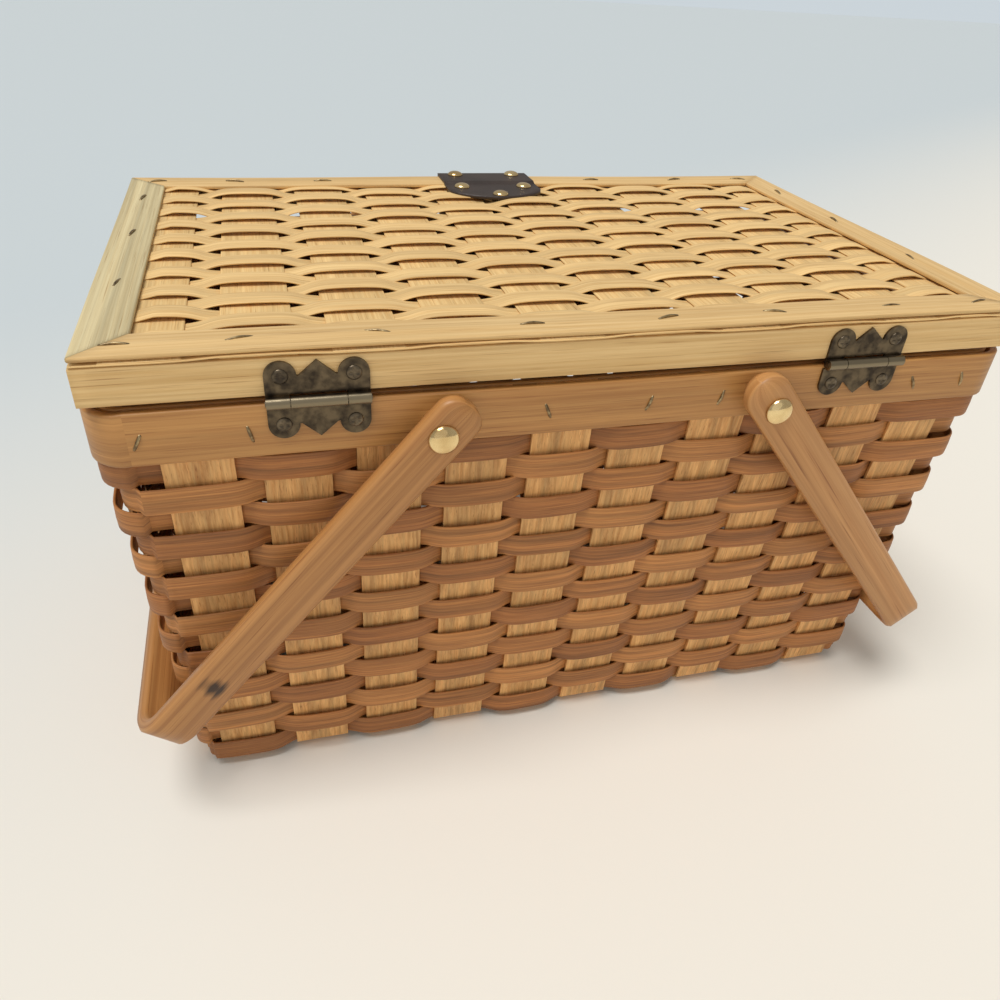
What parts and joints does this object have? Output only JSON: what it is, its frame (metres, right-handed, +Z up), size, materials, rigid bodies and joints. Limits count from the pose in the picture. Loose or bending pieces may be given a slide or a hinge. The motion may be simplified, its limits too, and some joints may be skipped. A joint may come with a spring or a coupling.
{
  "type": "picnic basket",
  "caption": "Rectangular woven splint picnic basket with a hinged lid, two swing handles and a leather latch.",
  "frame": {"origin": "on the table under the middle of the basket", "axes": "+Z up; +Y towards the hinge side; +X towards the right handle, seen from the latch side"},
  "size_m": [0.3742, 0.245, 0.2135],
  "materials": {
    "weaver_splint": "satin",
    "stake_splint": "satin",
    "rim_wood": "satin",
    "lid_wood": "matte",
    "pale_slat": "matte",
    "lid_splint": "matte",
    "bent_wood": "satin",
    "leather": "satin",
    "dark_bronze": "satin",
    "brass": "polished"
  },
  "bodies": {
    "basket": {"cross_splints": "stake_splint", "latch_plate": "brass", "left_hinge_lower_leaf": "dark_bronze", "left_hinge_pin": "dark_bronze", "long_splints": "stake_splint", "pivot_rivets": "brass", "pivot_washers": "brass", "right_hinge_lower_leaf": "dark_bronze", "right_hinge_pin": "dark_bronze", "rim_hinge_screws": "dark_bronze", "rim_inner_band": "rim_wood", "rim_outer_band": "rim_wood", "weaver_01": "weaver_splint", "weaver_02": "weaver_splint", "weaver_03": "weaver_splint", "weaver_04": "weaver_splint", "weaver_05": "weaver_splint", "weaver_06": "weaver_splint", "weaver_07": "weaver_splint", "weaver_08": "weaver_splint", "weaver_09": "weaver_splint", "weaver_10": "weaver_splint", "weaver_11": "weaver_splint", "weaver_12": "weaver_splint", "weaver_13": "weaver_splint", "weaver_14": "weaver_splint", "weaver_15": "weaver_splint", "weaver_16": "weaver_splint"},
    "lid": {"latch_nails": "brass", "latch_tab": "leather", "left_hinge_upper_leaf": "dark_bronze", "lid_board_back": "lid_wood", "lid_board_front": "lid_wood", "lid_board_left": "lid_wood", "lid_board_right": "lid_wood", "lid_hinge_screws": "dark_bronze", "lid_slat_back": "lid_wood", "lid_slat_front": "lid_wood", "lid_slat_left": "lid_wood", "lid_slat_right": "pale_slat", "lid_stakes": "lid_splint", "lid_weavers": "lid_splint", "right_hinge_upper_leaf": "dark_bronze"},
    "right_handle_hoop": {"right_handle": "bent_wood"},
    "left_handle_hoop": {"left_handle": "bent_wood"},
    "latch_flap_body": {"latch_flap": "leather"},
    "turn_button_body": {"turn_button": "brass"}
  },
  "joints": [
    {"name": "lid_hinge", "type": "hinge", "parent": "basket", "child": "lid", "pos_m": [0, 0.1104, 0.1914], "axis": [-1, 0, 0], "range_deg": [0, 95]},
    {"name": "right_handle_pivot", "type": "hinge", "parent": "basket", "child": "right_handle_hoop", "pos_m": [0.065, 0, 0.178], "axis": [0, 1, 0], "range_deg": [-157.6, 0]},
    {"name": "left_handle_pivot", "type": "hinge", "parent": "basket", "child": "left_handle_hoop", "pos_m": [-0.065, 0, 0.178], "axis": [0, -1, 0], "range_deg": [-157.6, 0]},
    {"name": "latch_flap_fold", "type": "hinge", "parent": "lid", "child": "latch_flap_body", "pos_m": [-0.004, -0.1104, 0.2108], "axis": [-1, 0, 0], "range_deg": [-12, 100]},
    {"name": "turn_button_turn", "type": "hinge", "parent": "basket", "child": "turn_button_body", "pos_m": [-0.004, -0.1127, 0.18], "axis": [0, -1, 0], "range_deg": [0, 90]}
  ]
}
